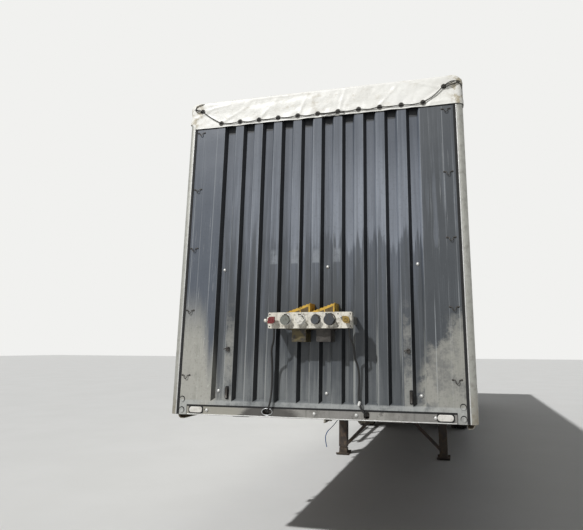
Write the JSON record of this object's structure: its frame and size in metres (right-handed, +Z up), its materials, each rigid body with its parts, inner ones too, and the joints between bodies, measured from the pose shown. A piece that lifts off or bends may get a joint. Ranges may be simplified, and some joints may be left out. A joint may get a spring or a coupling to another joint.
{
  "type": "semi trailer",
  "caption": "Curtain-side semi trailer on landing legs and air-sprung axles, with a pressed sheet headboard, laced front flap, connector panel and rear doors.",
  "frame": {"origin": "on the ground, in the middle of the trailer's length and width", "axes": "+X to the right when facing the headboard, -Y the way the headboard faces and the trailer is towed, +Z up"},
  "size_m": [2.55, 13.871, 4],
  "materials": {
    "chassis": "black chassis paint, dusty and rusty at the edges",
    "pin_steel": "forged steel, greased",
    "deck_wood": "brown phenolic plywood",
    "aluminium_rail": "weathered extruded aluminium",
    "anthracite_sheet": "anthracite paint, faded and chalky at the top",
    "front_rail_paint": "grey-beige paint, dirty",
    "lamp_white": "clear moulded lens",
    "panel_paint": "white paint, dirty",
    "coupling_plastic": "moulded coupling heads",
    "socket_plastic": "moulded socket covers",
    "yellow_plastic": "moulded yellow plastic, dirty",
    "cable_rubber": "black cable sheath",
    "hose_plastic": "pale hose with a blue end",
    "tarpaulin": "off-white coated cloth, creased",
    "galvanised_steel": "galvanised",
    "door_panel": "white-grey paint",
    "lamp_red": "moulded lens",
    "axle_paint": "black paint, dusty",
    "bellows_rubber": "moulded rubber",
    "black_plastic": "moulded plastic",
    "tyre": "worn rubber, dusty",
    "wheel_paint": "silver wheel paint, dusty"
  },
  "bodies": {
    "chassis": {"main_beam_left": "chassis", "main_beam_right": "chassis", "crossmembers": "chassis", "skid_plate": "chassis", "kingpin": "pin_steel", "floor_deck": "deck_wood", "side_rail_left": "aluminium_rail", "side_rail_right": "aluminium_rail", "headboard": "anthracite_sheet", "corner_post_left": "aluminium_rail", "corner_post_right": "aluminium_rail", "front_rail": "front_rail_paint", "marker_lamp_left": "lamp_white", "marker_lamp_right": "lamp_white", "connector_panel": "panel_paint", "air_couplings": "coupling_plastic", "power_sockets": "socket_plastic", "wheel_chocks": "yellow_plastic", "supply_cable_left": "cable_rubber", "supply_cable_right": "cable_rubber", "air_hose": "hose_plastic", "cant_rail_left": "aluminium_rail", "cant_rail_right": "aluminium_rail", "roof_bows": "aluminium_rail", "roof_sheet": "tarpaulin", "roof_flap": "tarpaulin", "curtain_left": "tarpaulin", "curtain_right": "tarpaulin", "rear_frame": "galvanised_steel", "rear_bumper": "chassis", "rear_lamp_left": "lamp_red", "rear_lamp_right": "lamp_red", "axles": "axle_paint", "hanger_brackets": "chassis", "trailing_arms": "axle_paint", "air_bags": "bellows_rubber", "mudguards_left": "black_plastic", "mudguards_right": "black_plastic", "landing_leg_left": "chassis", "landing_leg_right": "chassis", "leg_braces": "chassis", "side_guard_left": "aluminium_rail", "side_guard_right": "aluminium_rail", "air_tanks": "axle_paint"},
    "door_left": {"rear_door_left": "door_panel", "locking_bars_left": "galvanised_steel"},
    "door_right": {"rear_door_right": "door_panel", "locking_bars_right": "galvanised_steel"},
    "wheel_1_left": {"tyre_1_left": "tyre", "wheel_1_left": "wheel_paint"},
    "wheel_1_right": {"tyre_1_right": "tyre", "wheel_1_right": "wheel_paint"},
    "wheel_2_left": {"tyre_2_left": "tyre", "wheel_2_left": "wheel_paint"},
    "wheel_2_right": {"tyre_2_right": "tyre", "wheel_2_right": "wheel_paint"},
    "wheel_3_left": {"tyre_3_left": "tyre", "wheel_3_left": "wheel_paint"},
    "wheel_3_right": {"tyre_3_right": "tyre", "wheel_3_right": "wheel_paint"}
  },
  "joints": [
    {"name": "wheel_1_left_spin", "type": "hinge", "parent": "chassis", "child": "wheel_1_left", "pos_m": [-1.02, 1.3245, 0.53], "axis": [1, 0, 0], "continuous": true},
    {"name": "wheel_1_right_spin", "type": "hinge", "parent": "chassis", "child": "wheel_1_right", "pos_m": [1.02, 1.3245, 0.53], "axis": [1, 0, 0], "continuous": true},
    {"name": "wheel_2_left_spin", "type": "hinge", "parent": "chassis", "child": "wheel_2_left", "pos_m": [-1.02, 2.6345, 0.53], "axis": [1, 0, 0], "continuous": true},
    {"name": "wheel_2_right_spin", "type": "hinge", "parent": "chassis", "child": "wheel_2_right", "pos_m": [1.02, 2.6345, 0.53], "axis": [1, 0, 0], "continuous": true},
    {"name": "wheel_3_left_spin", "type": "hinge", "parent": "chassis", "child": "wheel_3_left", "pos_m": [-1.02, 3.9445, 0.53], "axis": [1, 0, 0], "continuous": true},
    {"name": "wheel_3_right_spin", "type": "hinge", "parent": "chassis", "child": "wheel_3_right", "pos_m": [1.02, 3.9445, 0.53], "axis": [1, 0, 0], "continuous": true},
    {"name": "door_left_swing", "type": "hinge", "parent": "chassis", "child": "door_left", "pos_m": [-1.258, 6.9245, 2.59], "axis": [0, 0, 1], "range_deg": [0, 270]},
    {"name": "door_right_swing", "type": "hinge", "parent": "chassis", "child": "door_right", "pos_m": [1.258, 6.9245, 2.59], "axis": [0, 0, -1], "range_deg": [0, 270]}
  ]
}
